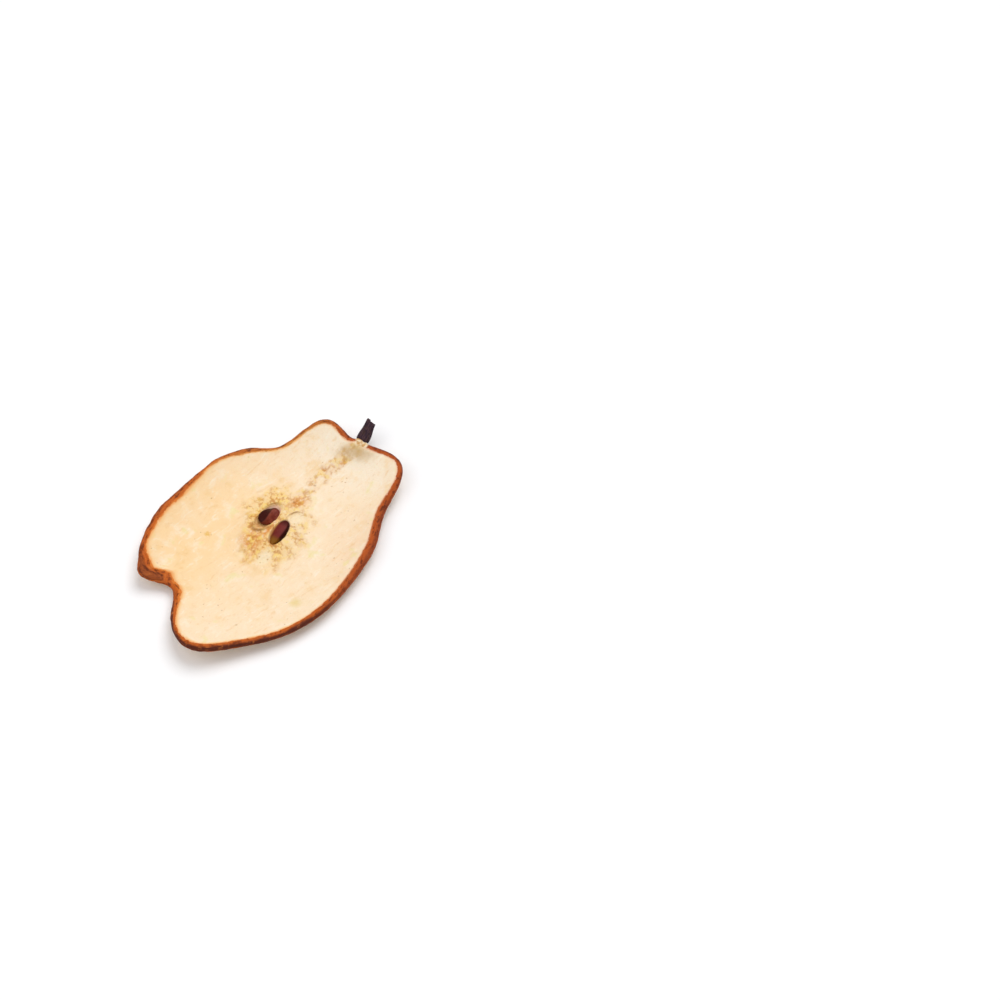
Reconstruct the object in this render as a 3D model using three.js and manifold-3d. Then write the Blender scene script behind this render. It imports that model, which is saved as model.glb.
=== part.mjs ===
// A dried slice of pear, cut lengthwise through the core: one leathery sheet of flesh inside its band of
// peel, two seeds lying in their pockets, and the stub of the stem.
//
// Millimetres, +Z up. The slice lies on the face that dried flat against the tray, with its edge curled up.
// The origin is the middle of the footprint, on the table. +X runs along the fruit's axis, from the calyx
// to the stem. Round the core, angles are in degrees from the stem's direction, anticlockwise from above.

import * as THREE from 'three';
import { mergeVertices } from 'three/addons/utils/BufferGeometryUtils.js';
import Module from 'manifold-3d';

const { degToRad, euclideanModulo, lerp, radToDeg, smoothstep } = THREE.MathUtils;

const wasm = await Module();
wasm.setup();

// ------------------------------------------------------------------------------------ driving dimensions

const CORE_AT = new THREE.Vector2(1.283, 2.145); // middle of the core in the part's frame

// The outline: a rounded body, longer than wide, and what the shoulders, waists, lobes and notches add to
// its radius.
const OUTLINE = {
  radius: 33.2,
  towardStem: -2.7,
  towardLeft: -1.5,
  lengthening: 5.4,
  skew: 1.5,
  features: [
    { name: 'stem seat', at: 3.5, reach: 0.8, spread: 2.6 },
    { name: 'left shoulder', at: 23.8, reach: 8.8, spread: 13.8 },
    { name: 'right shoulder', at: -20, reach: 9.6, spread: 17.3 },
    { name: 'left waist', at: 31.6, reach: -9.0, spread: 27.2 },
    { name: 'right waist', at: -25.9, reach: -6.3, spread: 23.5 },
    { name: 'calyx notch', at: 172.7, reach: -8.1, spread: 11.9 },
    { name: 'left calyx lobe', at: 161.7, reach: 2.3, spread: 6.1 },
    { name: 'right calyx lobe', at: -160.3, reach: 4.0, spread: 11.3 },
  ],
};

// How far the underside has curled up off the tray at the rounded body's edge.
const CURL = {
  everywhere: 2.5,
  flatShare: 0.42, // this share of the way out from the core stays flat
  bend: 2.0,
  features: [
    { name: 'left calyx lobe', at: 158, reach: 1.2, spread: 45 },
    { name: 'right calyx lobe', at: -158, reach: 0.8, spread: 40 },
    { name: 'left shoulder', at: 30, reach: 2.0, spread: 35 },
    { name: 'right shoulder', at: -26, reach: 0.6, spread: 35 },
    { name: 'left cheek', at: 95, reach: 0.8, spread: 40 },
    { name: 'right cheek', at: -80, reach: 0.4, spread: 40 },
  ],
};

const RIPPLES = [
  { waves: 9, phase: 0.4, outward: 0.09, upward: 0.12 },
  { waves: 17, phase: 2.1, outward: 0.06, upward: 0.07 },
];

const FLESH_THICKNESS = 1.7;
const CORE_THICKNESS = 2.6;
const CORE_RADIUS = [6.5, 13]; // the core's thickness fades to the flesh's between these

// The peel keeps more of its thickness than the flesh, so the slice thickens towards its edge.
const EDGE = {
  thickness: 1.8,
  features: [
    { name: 'left calyx lobe', at: 160, reach: 0.5, spread: 30 },
    { name: 'right cheek', at: -60, reach: 0.3, spread: 45 },
    { name: 'stem seat', at: 4, reach: 0.7, spread: 8 },
  ],
  width: 3.2, // of the ring that the section below describes
  thickensOver: 9,
};

// How far the top of the peel leans inwards, where the knife crossed it at a slant.
const LEAN = [
  { name: 'left calyx lobe', at: 162, reach: 2.2, spread: 9 },
  { name: 'left of the calyx', at: 150, reach: 0.6, spread: 40 },
  { name: 'right cheek', at: -60, reach: 0.75, spread: 45 },
];
const LEAN_FROM = 0.4; // share of the edge's thickness where the lean starts
const STEEPEST_STRETCH = 1.7; // caps how far an inset is stretched where the outline runs towards the core

// The edge's section, from the flesh on top round the peel to the underside: the inset from the outline,
// and the height as a share of the edge's thickness.
const EDGE_SECTION = [
  { inset: 2.2, height: 0.98 },
  { inset: 1.3, height: 1.0 },
  { inset: 0.8, height: 0.98 },
  { inset: 0.35, height: 0.86 },
  { inset: 0.08, height: 0.66 },
  { inset: 0.0, height: 0.4 },
  { inset: 0.12, height: 0.16 },
  { inset: 0.5, height: 0.0 },
  { inset: 1.7, height: 0.0 },
];

// The furrow that follows the vessels from the core up to the stem.
const FURROW = { depth: 0.55, halfWidth: 3.0, from: 12, to: 31, angle: -3 };

const RINGS_OVER_FLESH = 13;
const RINGS_UNDER_FLESH = 9;
const STEPS_ROUND = 120;

const GAP = 0.3; // between the slice and a seed or the stem

// Each seed's middle is given from the core's, and its height above the table. A seed points to +X before
// it is rolled, pitched and turned. Its section is a rounded polygon: the directions that its sides face,
// from the seed's left over its top, and how far out they are. The twist turns the section along the seed,
// and it swells from its ends, at -X and +X, by the powers in ends.
const SEEDS = [
  {
    name: 'seed_left',
    at: [1.1, 2.85, 2.35],
    length: 6.0,
    width: 4.4,
    thickness: 2.5,
    roll: 6,
    pitch: -4,
    turn: -12,
    facets: [[44, 0.8], [144, 0.8], [208, 0.98], [266, 0.95], [334, 0.98]],
    sharpness: 12,
    twist: 80,
    ends: [0.42, 0.46],
  },
  {
    name: 'seed_right',
    at: [-0.95, -3.05, 2.3],
    length: 8.4,
    width: 3.8,
    thickness: 2.4,
    roll: 5,
    pitch: 3,
    turn: 196,
    facets: [[70, 0.92], [150, 0.9], [10, 0.96], [215, 0.97], [270, 0.95], [325, 0.97]],
    sharpness: 7,
    twist: 0,
    ends: [0.5, 0.72],
  },
];
const SEED_STEPS = { along: 13, round: 24 };
const SEED_ENDS_ROUND = 0.25; // share of the length over which the section turns round towards each end

// The pockets are longer than their seeds, which have shrunk. The floor is a height above the table.
const POCKETS = [
  { at: [0.5, 2.85], length: 9.6, width: 5.0, floor: 0.9, turn: 5 },
  { at: [-0.9, -3.1], length: 9.2, width: 4.4, floor: 0.85, turn: 16 },
];
const POCKET_TOP = 6.0; // the cutting ellipsoid's top, above the flesh

// The stem's root sits in the flesh, and its stub is widest where it leaves the edge.
const STEM = {
  root: [33.9, 1.2, 4.1], // from the core's middle, and above the table
  tip: [40.0, 3.7, 5.8],
  rootWidth: 2.2,
  exitWidth: 3.5,
  tipWidth: 2.8,
  exitAt: 0.2, // share of the length where the stub is widest
  flatness: 0.65, // its thickness over its width
  brokenSlant: 0.9, // how far the snapped end slants
  sides: 14,
  stations: 8,
};

// --------------------------------------------------------------------------------------------- the fields

/** How much of a feature is felt at an angle: 1 in its middle, fading over its spread. */
function nearness(angle, feature) {
  const away = euclideanModulo(angle - feature.at + 180, 360) - 180;
  return Math.exp(-((away / feature.spread) ** 2));
}

function sumOfFeatures(angle, features) {
  return features.reduce((sum, feature) => sum + feature.reach * nearness(angle, feature), 0);
}

function ripple(angle, direction) {
  return RIPPLES.reduce((sum, r) => sum + r[direction] * Math.sin(r.waves * degToRad(angle) + r.phase), 0);
}

/** The radius of the rounded body, without its shoulders, lobes and notches. */
function bodyRadius(angle) {
  const a = degToRad(angle);
  return OUTLINE.radius
    + OUTLINE.towardStem * Math.cos(a) + OUTLINE.towardLeft * Math.sin(a)
    + OUTLINE.lengthening * Math.cos(2 * a) + OUTLINE.skew * Math.sin(2 * a);
}

function outlineRadius(angle) {
  return bodyRadius(angle) + sumOfFeatures(angle, OUTLINE.features) + ripple(angle, 'outward');
}

/** A place on the table, at an inset from the outline, on the ray at an angle from the core. */
function placeInside(angle, inset) {
  const step = 0.5;
  const growth = (outlineRadius(angle + step) - outlineRadius(angle - step)) / degToRad(2 * step);
  const stretch = Math.min(Math.hypot(1, growth / outlineRadius(angle)), STEEPEST_STRETCH);
  const radius = outlineRadius(angle) - inset * stretch;
  return new THREE.Vector2(Math.cos(degToRad(angle)), Math.sin(degToRad(angle))).multiplyScalar(radius);
}

/** The height of the underside at a place measured from the middle of the core. */
function curlHeight(x, y) {
  const angle = radToDeg(Math.atan2(y, x));
  const share = Math.hypot(x, y) / bodyRadius(angle);
  const curled = Math.max(0, (share - CURL.flatShare) / (1 - CURL.flatShare)) ** CURL.bend;
  return curled * (CURL.everywhere + sumOfFeatures(angle, CURL.features) + ripple(angle, 'upward'));
}

/** A point over a place, at a height above the underside and square to it. */
function pointAbove({ x, y }, height) {
  const step = 0.05;
  const square = new THREE.Vector3(
    curlHeight(x - step, y) - curlHeight(x + step, y),
    curlHeight(x, y - step) - curlHeight(x, y + step),
    2 * step,
  ).normalize();
  return new THREE.Vector3(x, y, curlHeight(x, y)).addScaledVector(square, height);
}

const OUTLINE_POINTS = Array.from({ length: 360 }, (_, angle) => placeInside(angle, 0));

function edgeThickness(angle) {
  return EDGE.thickness + sumOfFeatures(angle, EDGE.features);
}

/** How much of the furrow is felt at a place measured from the middle of the core. */
function furrowShare({ x, y }) {
  const axis = degToRad(FURROW.angle);
  const along = x * Math.cos(axis) + y * Math.sin(axis);
  const across = y * Math.cos(axis) - x * Math.sin(axis);
  return smoothstep(along, FURROW.from, FURROW.to) * Math.exp(-((across / FURROW.halfWidth) ** 2));
}

/** The slice's thickness at a place measured from the middle of the core, inside the edge's section. */
function thickness(place) {
  const fromEdge = Math.min(...OUTLINE_POINTS.map((point) => point.distanceTo(place)));
  const thickened = 1 - smoothstep(fromEdge, 0, EDGE.thickensOver);
  const flesh = lerp(CORE_THICKNESS, FLESH_THICKNESS, smoothstep(place.length(), ...CORE_RADIUS));
  const edge = edgeThickness(radToDeg(Math.atan2(place.y, place.x)));
  return lerp(flesh - FURROW.depth * furrowShare(place), edge, thickened);
}

// ---------------------------------------------------------------------------------------------- the slice

/** Angles that cut the outline into steps of equal length, so that the notch and lobes get their share. */
function evenAngles(count) {
  const fine = 3600;
  const lengths = [0];
  let last = placeInside(0, 0);
  for (let i = 1; i <= fine; i += 1) {
    const next = placeInside((360 * i) / fine, 0);
    lengths.push(lengths[i - 1] + next.distanceTo(last));
    last = next;
  }
  const angles = [];
  let i = 0;
  for (let n = 0; n < count; n += 1) {
    const wanted = (lengths[fine] * n) / count;
    while (lengths[i + 1] < wanted) i += 1;
    angles.push((360 * (i + (wanted - lengths[i]) / (lengths[i + 1] - lengths[i]))) / fine);
  }
  return angles;
}

/** A point over the flesh, where heights are shares of the thickness. */
function fleshPoint(angle, share, height) {
  const place = placeInside(angle, EDGE.width + sumOfFeatures(angle, LEAN)).multiplyScalar(share);
  return pointAbove(place, height * thickness(place));
}

function edgePoint(angle, { inset, height }) {
  const lean = sumOfFeatures(angle, LEAN) * smoothstep(height, LEAN_FROM, 1);
  return pointAbove(placeInside(angle, inset + lean), height * edgeThickness(angle));
}

/** The rings of the slice's skin, from round the middle of the top, out over the peel and back underneath. */
function ringsOfSlice(angles) {
  const ring = (point) => angles.map(point);
  const shares = (count) => Array.from({ length: count }, (_, i) => (i + 1) / count);
  return [
    ...shares(RINGS_OVER_FLESH).map((share) => ring((angle) => fleshPoint(angle, share, 1))),
    ...EDGE_SECTION.map((place) => ring((angle) => edgePoint(angle, place))),
    ...shares(RINGS_UNDER_FLESH).reverse().map((share) => ring((angle) => fleshPoint(angle, share, 0))),
  ];
}

/** One closed skin through rings of equal count, with a point at each end. */
function skinThroughRings(firstPoint, rings, lastPoint) {
  const count = rings[0].length;
  const points = [firstPoint, ...rings.flat(), lastPoint];
  const lastIndex = points.length - 1;
  const lastRing = 1 + (rings.length - 1) * count;
  const triangles = [];
  for (let i = 0; i < count; i += 1) {
    const next = (i + 1) % count;
    triangles.push(0, 1 + i, 1 + next);
    for (let r = 0; r < rings.length - 1; r += 1) {
      const a = 1 + r * count + i;
      const b = 1 + r * count + next;
      triangles.push(a, a + count, b + count, a, b + count, b);
    }
    triangles.push(lastIndex, lastRing + next, lastRing + i);
  }
  const geometry = new THREE.BufferGeometry().setFromPoints(points);
  geometry.setIndex(triangles);
  return geometry;
}

function wholeSliceGeometry() {
  const middle = new THREE.Vector2(0, 0);
  const rings = ringsOfSlice(evenAngles(STEPS_ROUND));
  return skinThroughRings(pointAbove(middle, CORE_THICKNESS), rings, pointAbove(middle, 0));
}

// ----------------------------------------------------------------------------------- seeds, pockets, stem

/** A seed's section at a share of its length, as wide and as high as a circle of radius 1. */
function seedSection(share, { facets, sharpness, twist }) {
  const polygon = [];
  for (let i = 0; i < SEED_STEPS.round; i += 1) {
    const turn = (2 * Math.PI * i) / SEED_STEPS.round;
    const pressed = facets.reduce((sum, [faces, distance]) => {
      const square = Math.max(0, Math.cos(turn - degToRad(faces + twist * (0.5 - share))));
      return sum + (square / distance) ** sharpness;
    }, 0);
    const radius = pressed ** (-1 / sharpness);
    polygon.push(new THREE.Vector2(radius * Math.cos(turn), radius * Math.sin(turn)));
  }
  const widest = Math.max(...polygon.map(({ x }) => Math.abs(x)));
  const highest = Math.max(...polygon.map(({ y }) => Math.abs(y)));
  const crisp = smoothstep(share, 0, SEED_ENDS_ROUND) * (1 - smoothstep(share, 1 - SEED_ENDS_ROUND, 1));
  return polygon.map((corner) => {
    const filled = new THREE.Vector2(corner.x / widest, corner.y / highest);
    return corner.clone().normalize().lerp(filled, crisp);
  });
}

/** A pear seed about its own middle, with a sharper end where the power of its swell is higher. */
function seedGeometry(seed, extra = 0) {
  const [back, front] = seed.ends;
  const swell = (u) => u ** back * (1 - u) ** front;
  const fullest = swell(back / (back + front));
  const rings = [];
  for (let i = 1; i < SEED_STEPS.along; i += 1) {
    const share = (1 + Math.cos((Math.PI * i) / SEED_STEPS.along)) / 2;
    const half = swell(share) / fullest / 2;
    const section = seedSection(share, seed);
    rings.push(section.map(({ x, y }) => new THREE.Vector3(share - 0.5, half * x, half * y)));
  }
  const geometry = skinThroughRings(new THREE.Vector3(0.5, 0, 0), rings, new THREE.Vector3(-0.5, 0, 0));
  geometry.scale(seed.length + 2 * extra, seed.width + 2 * extra, seed.thickness + 2 * extra);
  return geometry;
}

/** Where a seed lies, from the middle of the core. */
function seedPose({ at, roll, pitch, turn }) {
  const turned = new THREE.Euler(degToRad(roll), degToRad(pitch), degToRad(turn), 'ZYX');
  return new THREE.Matrix4().makeRotationFromEuler(turned).setPosition(...at);
}

function pocketGeometry({ at, length, width, floor, turn }) {
  const geometry = new THREE.SphereGeometry(1, 22, 14);
  geometry.scale(length / 2, width / 2, (POCKET_TOP - floor) / 2);
  geometry.rotateZ(degToRad(turn));
  geometry.translate(at[0], at[1], (POCKET_TOP + floor) / 2);
  return geometry;
}

function stemWidth(share) {
  const stub = lerp(STEM.exitWidth, STEM.tipWidth, smoothstep(share, STEM.exitAt, 1));
  return lerp(STEM.rootWidth, stub, smoothstep(share, 0, STEM.exitAt));
}

/** The stub of the stem: flattened, tapering, a little knobbly, with a slanting snapped end. */
function stemGeometry(extra = 0) {
  const root = new THREE.Vector3(...STEM.root);
  const tip = new THREE.Vector3(...STEM.tip);
  const forward = tip.clone().sub(root).normalize();
  const across = new THREE.Vector3(0, 0, 1).cross(forward).normalize();
  const upward = forward.clone().cross(across);
  const deepest = root.clone().addScaledVector(forward, -extra);
  const ringAt = (share) => {
    const halfWidth = stemWidth(share) / 2;
    return Array.from({ length: STEM.sides }, (_, i) => {
      const a = (2 * Math.PI * i) / STEM.sides;
      const knob = 1 + 0.07 * Math.sin(3 * a + 4 * share) + 0.05 * Math.sin(5 * a + 7 * share);
      const slant = share * STEM.brokenSlant * (0.7 * Math.cos(a) + 0.3 * Math.sin(2 * a));
      return deepest.clone().lerp(tip, share)
        .addScaledVector(across, (halfWidth * knob + extra) * Math.cos(a))
        .addScaledVector(upward, (halfWidth * STEM.flatness * knob + extra) * Math.sin(a))
        .addScaledVector(forward, slant);
    });
  };
  const rings = Array.from({ length: STEM.stations }, (_, s) => ringAt(1 - s / (STEM.stations - 1)));
  return skinThroughRings(tip, rings, deepest);
}

// ------------------------------------------------------------------------------------------------- solids

/** A closed geometry as a solid for cutting and joining. */
function solidOf(geometry) {
  const bare = geometry.clone();
  bare.deleteAttribute('normal');
  bare.deleteAttribute('uv');
  const merged = mergeVertices(bare, 1e-4);
  return new wasm.Manifold(new wasm.Mesh({
    numProp: 3,
    vertProperties: new Float32Array(merged.attributes.position.array),
    triVerts: new Uint32Array(merged.index.array),
  }));
}

function geometryOf(solid) {
  const { vertProperties, triVerts } = solid.getMesh();
  const geometry = new THREE.BufferGeometry();
  geometry.setAttribute('position', new THREE.BufferAttribute(vertProperties, 3));
  geometry.setIndex(new THREE.BufferAttribute(triVerts, 1));
  geometry.computeVertexNormals();
  return geometry;
}

/** The sheet of flesh and peel, with room cut for the pockets, for the seeds pressed in and for the stem. */
function sliceGeometry() {
  const room = [
    ...POCKETS.map(pocketGeometry),
    ...SEEDS.map((seed) => seedGeometry(seed, GAP).applyMatrix4(seedPose(seed))),
    stemGeometry(GAP),
  ];
  const whole = solidOf(wholeSliceGeometry());
  return geometryOf(room.reduce((slice, cut) => slice.subtract(solidOf(cut)), whole));
}

// --------------------------------------------------------------------------------------- meshes and group

const MATERIALS = {
  flesh: new THREE.MeshStandardMaterial({ color: 0xf4d9ac, roughness: 0.75, metalness: 0 }),
  seed: new THREE.MeshStandardMaterial({ color: 0x57201a, roughness: 0.32, metalness: 0 }),
  stem: new THREE.MeshStandardMaterial({ color: 0x3f2a28, roughness: 0.8, metalness: 0 }),
};

function namedMesh(name, geometry, material) {
  const mesh = new THREE.Mesh(geometry, material);
  mesh.name = name;
  return mesh;
}

function seedMesh(seed) {
  const mesh = namedMesh(seed.name, geometryOf(solidOf(seedGeometry(seed))), MATERIALS.seed);
  mesh.applyMatrix4(seedPose(seed));
  return mesh;
}

const driedPearSlice = new THREE.Group();
driedPearSlice.add(
  namedMesh('pear_slice', sliceGeometry(), MATERIALS.flesh),
  ...SEEDS.map(seedMesh),
  namedMesh('stem', geometryOf(solidOf(stemGeometry())), MATERIALS.stem),
);
driedPearSlice.position.set(CORE_AT.x, CORE_AT.y, 0);
driedPearSlice.updateMatrixWorld(true);

export default driedPearSlice;
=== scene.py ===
"""A dried slice of pear lying on a white table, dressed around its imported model.

The shape functions work in millimetres from the middle of the core: x towards the stem, y to the left of it,
z up from the table. Angles are in degrees from the stem's direction, anticlockwise seen from above.
"""

import math

import bpy
import numpy as np
from mathutils import Euler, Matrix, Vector, noise


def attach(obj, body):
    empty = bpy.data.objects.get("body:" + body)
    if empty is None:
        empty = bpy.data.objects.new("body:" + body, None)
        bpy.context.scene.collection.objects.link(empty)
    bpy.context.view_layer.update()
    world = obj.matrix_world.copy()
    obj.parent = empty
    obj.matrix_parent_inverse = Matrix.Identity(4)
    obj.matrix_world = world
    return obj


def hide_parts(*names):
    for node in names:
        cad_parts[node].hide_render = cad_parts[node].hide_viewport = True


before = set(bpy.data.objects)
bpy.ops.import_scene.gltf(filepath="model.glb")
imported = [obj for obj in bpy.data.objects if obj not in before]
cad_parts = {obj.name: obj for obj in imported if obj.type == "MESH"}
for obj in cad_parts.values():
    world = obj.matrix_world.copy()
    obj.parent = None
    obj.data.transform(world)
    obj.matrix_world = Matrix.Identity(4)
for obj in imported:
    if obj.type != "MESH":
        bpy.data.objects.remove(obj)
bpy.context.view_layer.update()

MM = 0.001
CORE_AT = np.array([1.283, 2.145, 0])  # the middle of the core in the row frame

# --------------------------------------------------------------------------- the slice's driving dimensions

RADIUS = 33.2
TOWARD_STEM = -2.7
TOWARD_LEFT = -1.5
LENGTHENING = 5.4
SKEW = 1.5
OUTLINE_FEATURES = {  # angle, reach, spread
    "stem seat": (3.5, 0.8, 2.6),
    "left shoulder": (23.8, 8.8, 13.8),
    "right shoulder": (-20, 9.6, 17.3),
    "left waist": (31.6, -9.0, 27.2),
    "right waist": (-25.9, -6.3, 23.5),
    "calyx notch": (172.7, -8.1, 11.9),
    "left calyx lobe": (161.7, 2.3, 6.1),
    "right calyx lobe": (-160.3, 4.0, 11.3),
}

CURL_EVERYWHERE = 2.5
CURL_FLAT_SHARE = 0.42
CURL_BEND = 2.0
CURL_FEATURES = {
    "left calyx lobe": (158, 1.2, 45),
    "right calyx lobe": (-158, 0.8, 40),
    "left shoulder": (30, 2.0, 35),
    "right shoulder": (-26, 0.6, 35),
    "left cheek": (95, 0.8, 40),
    "right cheek": (-80, 0.4, 40),
}

RIPPLES = (  # waves, phase, outward, upward
    (9, 0.4, 0.09, 0.12),
    (17, 2.1, 0.06, 0.07),
)

FLESH_THICKNESS = 1.7
CORE_THICKNESS = 2.6
CORE_RADIUS = (6.5, 13)
FURROW_DEPTH = 0.55
FURROW_HALF_WIDTH = 3.0
FURROW_REACH = (12, 31)
FURROW_ANGLE = -3

EDGE_THICKNESS = 1.8
EDGE_FEATURES = {
    "left calyx lobe": (160, 0.5, 30),
    "right cheek": (-60, 0.3, 45),
    "stem seat": (4, 0.7, 8),
}
LEAN_FEATURES = {  # how far the top of the peel leans inwards
    "left calyx lobe": (162, 2.2, 9),
    "left of the calyx": (150, 0.6, 40),
    "right cheek": (-60, 0.75, 45),
}
LEAN_FROM = 0.4
STEEPEST_STRETCH = 1.7
EDGE_WIDTH = 3.2
EDGE_THICKENS_OVER = 9
EDGE_SECTION = (  # inset from the outline, height as a share of the edge's thickness
    (1.3, 1.0),
    (0.8, 0.98),
    (0.35, 0.86),
    (0.08, 0.66),
    (0.0, 0.4),
    (0.12, 0.16),
    (0.5, 0.0),
    (1.7, 0.0),
)
SECTION_LEADS = ((2.2, 1.0), (3.2, 0.0))  # points before and after the section that steer its curve's ends
PEEL_BORDER_OVER = 0.95  # the inset where the peel starts on top
PEEL_BORDER_FEATURES = {
    "left cheek": (116, 0.55, 15),
    "left waist": (64, 0.75, 9),
    "beside the stem": (11, 0.35, 6),
    "left shoulder": (24, 0.35, 9),
    "right of the stem": (-8, 0.3, 6),
    "right shoulder": (-23, -0.5, 8),
    "right cheek": (-64, 0.15, 20),
    "calyx side of the left cheek": (149, -0.4, 7),
    "far side of the left cheek": (91, -0.3, 5),
    "left calyx lobe": (170, -1.0, 4),
    "calyx notch": (181, 0.6, 5),
    "right calyx lobe": (-168, -0.4, 5),
    "base": (-150, 0.15, 12),
}
PEEL_BORDER_UNDER = 0.8

POCKET_TOP = 6.0
POCKET_LIP = (0.14, 1.06, 0.11)  # height, middle and half width, the last two as shares of the pocket's size
POCKET_CORNER = 0.16  # how far the corner between the flesh and a pocket is rounded
DENT_LIP = (0.1, 1.1, 0.15)
POCKETS = (  # middle, length, width, height of the floor, turn
    ((0.5, 2.85), 9.6, 5.0, 0.9, 5),
    ((-0.9, -3.1), 9.2, 4.4, 0.85, 16),
)
CARPEL_DENTS = (  # middle, length, width, depth, turn: the ends of the chambers beyond the seeds
    ((5.2, -3.4), 5.0, 4.2, 0.28, -20),
    ((-8.9, -6.0), 6.4, 4.2, 0.22, 12),
)

SEEDS = {  # facets: each side's angle and how far out it is; twist: how far the sides turn from end to end
    "seed_left": {
        "at": (1.1, 2.85, 2.35),
        "size": (6.0, 4.4, 2.5),
        "rotation": (6, -4, -12),
        "facets": ((44, 0.8), (144, 0.8), (208, 0.98), (266, 0.95), (334, 0.98)),
        "sharpness": 12,
        "twist": 80,
        "ends": (0.42, 0.46),
    },
    "seed_right": {
        "at": (-0.95, -3.05, 2.3),
        "size": (8.4, 3.8, 2.4),
        "rotation": (5, 3, 196),
        "facets": ((70, 0.92), (150, 0.9), (10, 0.96), (215, 0.97), (270, 0.95), (325, 0.97)),
        "sharpness": 7,
        "twist": 0,
        "ends": (0.5, 0.72),
    },
}
SEED_COATS = {  # where round the section shade is painted on the coat, the coat's colour on its lit side, and what is olive
    "seed_left": {"painted_shade": (-35, 94), "face": (136, 64, 48), "olive": 0.0},
    "seed_right": {"painted_shade": (-80, 44), "face": (116, 42, 36), "olive": 1.0},
}

STEM = {
    "root": (33.9, 1.2, 4.1),
    "tip": (40.0, 3.7, 5.8),
    "root_width": 2.2,
    "exit_width": 3.5,
    "tip_width": 2.8,
    "exit_at": 0.2,
    "flatness": 0.65,
    "broken_slant": 0.9,
}

# ----------------------------------------------------------------------------------------- the slice's mesh

STEPS_ROUND = 672  # at the edge; half as many near the core and underneath, a quarter at its middle
FINE_RADIUS_SHARE = 0.3  # out to this share of the radius, the rings are the closest
MIDDLE_SHARE = 0.14
RINGS = {"middle": 28, "fine": 32, "over": 58, "edge": 6, "section": 6, "under": 26}
LOWEST_ON_TOP = 0.4  # rings of the edge below this height belong to the underside
FAR_INSIDE = -30.0  # how deep into the peel the middle of the slice is
NOISE_LAYERS_APART = 17.3


# ------------------------------------------------------------------------------------------ small functions


def srgb(red, green, blue):
    """A colour seen on screen as 0 to 255, in the renderer's own linear values."""
    shares = [channel / 255 for channel in (red, green, blue)]
    return tuple(s / 12.92 if s <= 0.04045 else ((s + 0.055) / 1.055) ** 2.4 for s in shares)


def lerp(a, b, share):
    return a + (b - a) * share


def smooth(value, low, high):
    """0 at low and 1 at high, easing in and out."""
    share = np.clip((value - low) / (high - low), 0, 1)
    return share * share * (3 - 2 * share)


def soft_least(a, b, softness):
    """The lower of two heights, with the corner between them rounded off."""
    overlap = np.clip(0.5 + 0.5 * (b - a) / softness, 0, 1)
    return lerp(b, a, overlap) - softness * overlap * (1 - overlap)


def near(angle, at, spread):
    away = (angle - at + 180) % 360 - 180
    return np.exp(-((away / spread) ** 2))


def sum_of(features, angle):
    return sum(reach * near(angle, at, spread) for at, reach, spread in features.values())


def turned(x, y, degrees):
    """x and y along and across a direction."""
    a = math.radians(degrees)
    return x * math.cos(a) + y * math.sin(a), y * math.cos(a) - x * math.sin(a)


def max_of(shares):
    return np.maximum.reduce(shares)


def on_table(place):
    """Places on the table as points in space."""
    return np.column_stack([place, 0 * place[:, 0]])


def in_noise(points, size, layer):
    """Points in the noise's own space, where each layer has its own place."""
    return [Vector(p) for p in np.asarray(points) / size + NOISE_LAYERS_APART * layer]


def noise_at(points, size, layer=0):
    """Smooth noise between about -1 and 1, its bumps about a size across."""
    return np.array([noise.noise(p) for p in in_noise(points, size, layer)])


def lumps_at(points, size, layer=0):
    """Rounded lumps about a size across: 1 on their tops and 0 in the cracks between them."""
    nearest = [noise.voronoi(p)[0][0] for p in in_noise(points, size, layer)]
    return np.clip(1 - np.array(nearest) / 0.8, 0, 1)


# -------------------------------------------------------------------------------------- the slice's surface


def body_radius(angle):
    a = np.radians(angle)
    round_part = RADIUS + TOWARD_STEM * np.cos(a) + TOWARD_LEFT * np.sin(a)
    return round_part + LENGTHENING * np.cos(2 * a) + SKEW * np.sin(2 * a)


def outline_radius(angle):
    a = np.radians(angle)
    ripple = sum(outward * np.sin(waves * a + phase) for waves, phase, outward, _ in RIPPLES)
    return body_radius(angle) + sum_of(OUTLINE_FEATURES, angle) + ripple


def place_inside(angle, inset):
    """Places at an inset from the outline, on the rays at each angle from the core."""
    step = 0.5
    growth = (outline_radius(angle + step) - outline_radius(angle - step)) / math.radians(2 * step)
    stretch = np.minimum(np.hypot(1, growth / outline_radius(angle)), STEEPEST_STRETCH)
    radius = outline_radius(angle) - inset * stretch
    a = np.radians(angle)
    return np.stack([radius * np.cos(a), radius * np.sin(a)], axis=-1)


def lean(angle):
    return sum_of(LEAN_FEATURES, angle)


def peel_border(angle):
    """The inset where the peel starts on top, before the lean."""
    return PEEL_BORDER_OVER + sum_of(PEEL_BORDER_FEATURES, angle)


def curl_height(x, y):
    angle = np.degrees(np.arctan2(y, x))
    share = np.hypot(x, y) / body_radius(angle)
    curled = np.clip((share - CURL_FLAT_SHARE) / (1 - CURL_FLAT_SHARE), 0, None) ** CURL_BEND
    lift = CURL_EVERYWHERE + sum_of(CURL_FEATURES, angle)
    for waves, phase, _, upward in RIPPLES:
        lift = lift + upward * np.sin(waves * np.radians(angle) + phase)
    return curled * lift


def above(place, height):
    """Points over places on the table, at a height above the curled underside and square to it."""
    x, y = place.T
    step = 0.05
    square = np.stack(
        [
            curl_height(x - step, y) - curl_height(x + step, y),
            curl_height(x, y - step) - curl_height(x, y + step),
            np.full(len(x), 2 * step),
        ],
        axis=-1,
    )
    square /= np.linalg.norm(square, axis=-1, keepdims=True)
    on_underside = np.column_stack([x, y, curl_height(x, y)])
    return on_underside + square * np.reshape(height, (-1, 1))


OUTLINE_POINTS = place_inside(np.arange(0, 360, 0.5), 0)


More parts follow.
